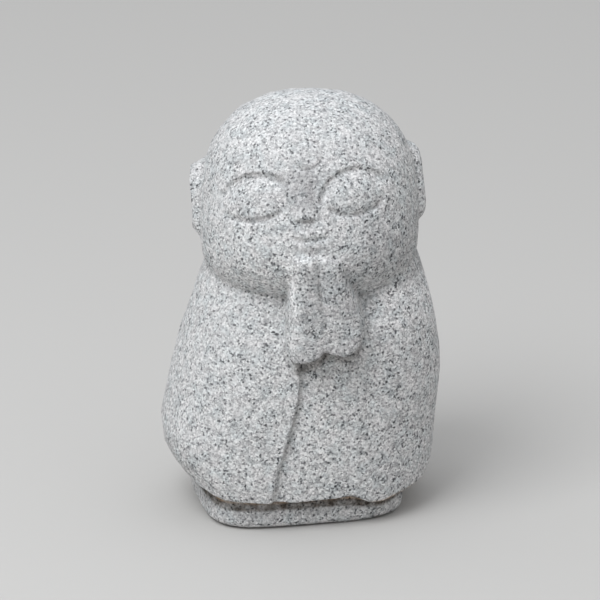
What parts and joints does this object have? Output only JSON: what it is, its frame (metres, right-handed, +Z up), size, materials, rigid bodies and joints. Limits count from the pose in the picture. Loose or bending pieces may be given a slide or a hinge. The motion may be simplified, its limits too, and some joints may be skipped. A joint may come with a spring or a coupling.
{
  "type": "stone jizo statue",
  "caption": "Small carved granite jizo figure with a large round bald head, closed eyes, hands pressed under the chin and a plain long robe, standing on a low foot.",
  "frame": {"origin": "middle of the flat underside of the foot, at the level it stands on", "axes": "+Z up, the front of the robe faces -Y, +X is the figure's own left"},
  "size_m": [0.1634, 0.1332, 0.2508],
  "materials": {
    "granite": "rough bush-hammered light grey granite with dark specks"
  },
  "bodies": {
    "root": {"jizo_statue": "granite"}
  },
  "joints": []
}
